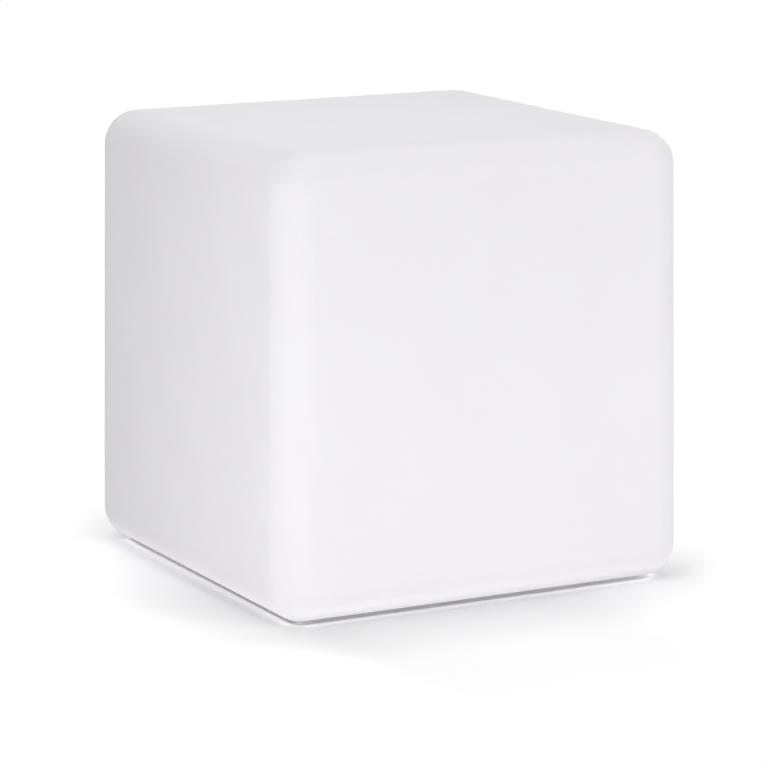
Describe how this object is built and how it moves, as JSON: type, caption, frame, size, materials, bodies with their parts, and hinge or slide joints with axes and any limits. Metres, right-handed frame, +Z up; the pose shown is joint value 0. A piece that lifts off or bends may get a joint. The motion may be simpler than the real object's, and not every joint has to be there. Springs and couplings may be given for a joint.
{
  "type": "outdoor light cube",
  "caption": "Rechargeable garden light: a hollow rounded plastic cube on rubber feet, lit by a sealed module in its base with a push switch and a charging socket under a flap.",
  "frame": {"origin": "on the floor, under the middle of the cube", "axes": "+Z up, -Y towards the wide side that faces the camera, X along that side"},
  "size_m": [0.4, 0.4, 0.402],
  "materials": {
    "shell": "fine matt moulded polyethylene, slightly translucent",
    "brass": "machined",
    "foot_rubber": "matt",
    "seal_rubber": "matt silicone",
    "cover": "fine spark-eroded texture",
    "stainless": "brushed",
    "black_rubber": "matt",
    "housing": "satin",
    "light_board": "white solder mask",
    "led_package": "phosphor window",
    "connector": "nylon",
    "black_plastic": "glossy",
    "frosted": "frosted polycarbonate",
    "circuit_board": "green solder mask",
    "ferrite": "sintered",
    "capacitor_can": "satin",
    "clear_rod": "clear acrylic",
    "cradle": "satin",
    "cell_wrap": "shrink wrap over a metal can",
    "nickel": "plain strip",
    "foam": "closed-cell foam",
    "port_plastic": "satin",
    "contact_block": "phenolic",
    "contact_metal": "tinned",
    "spring_steel": "drawn wire",
    "button": "satin",
    "flap": "satin",
    "red_wire": "PVC",
    "black_wire": "PVC",
    "white_wire": "PVC",
    "blue_wire": "PVC"
  },
  "bodies": {
    "light": {"shell": "shell", "thread_inserts": "brass", "feet": "foot_rubber", "flange_gasket": "seal_rubber", "base_cover": "cover", "flange_screws": "stainless", "screw_washers": "black_rubber", "module_housing": "housing", "housing_seal": "seal_rubber", "housing_screws": "stainless", "led_board": "light_board", "leds": "led_package", "led_board_screws": "stainless", "led_connector": "connector", "remote_sensor": "black_plastic", "lead_grommet": "black_rubber", "dome_seal": "seal_rubber", "dome_lens": "frosted", "dome_ring": "housing", "dome_screws": "stainless", "control_board": "circuit_board", "board_screws": "stainless", "control_chips": "black_plastic", "inductor": "ferrite", "capacitors": "capacitor_can", "board_connectors": "connector", "status_led": "led_package", "charge_indicator": "clear_rod", "battery_cradle": "cradle", "battery_cells": "cell_wrap", "battery_tabs": "nickel", "battery_pad": "foam", "battery_clamp": "cradle", "clamp_screws": "stainless", "switch_body": "port_plastic", "switch_contacts": "contact_block", "switch_lugs": "contact_metal", "switch_nut": "stainless", "switch_seal": "black_rubber", "switch_spring": "spring_steel", "charge_jack": "port_plastic", "jack_contacts": "contact_metal", "jack_nut": "stainless", "jack_seal": "black_rubber", "flap_hinge_pin": "stainless", "battery_lead_positive": "red_wire", "battery_lead_negative": "black_wire", "led_lead": "white_wire", "switch_leads": "blue_wire", "jack_leads": "red_wire"},
    "button": {"power_button": "button"},
    "flap": {"charge_flap": "flap", "flap_pad": "seal_rubber"}
  },
  "joints": [
    {"name": "button_press", "type": "slide", "parent": "light", "child": "button", "axis": [0, 0, 1], "range_m": [0, 0.0012], "stiffness_N_per_m": 800, "springref_m": -0.002, "deforming": ["switch_spring"]},
    {"name": "flap_hinge", "type": "hinge", "parent": "light", "child": "flap", "pos_m": [0.036, 0, 0.0292], "axis": [0, 1, 0], "range_deg": [0, 110]}
  ]
}
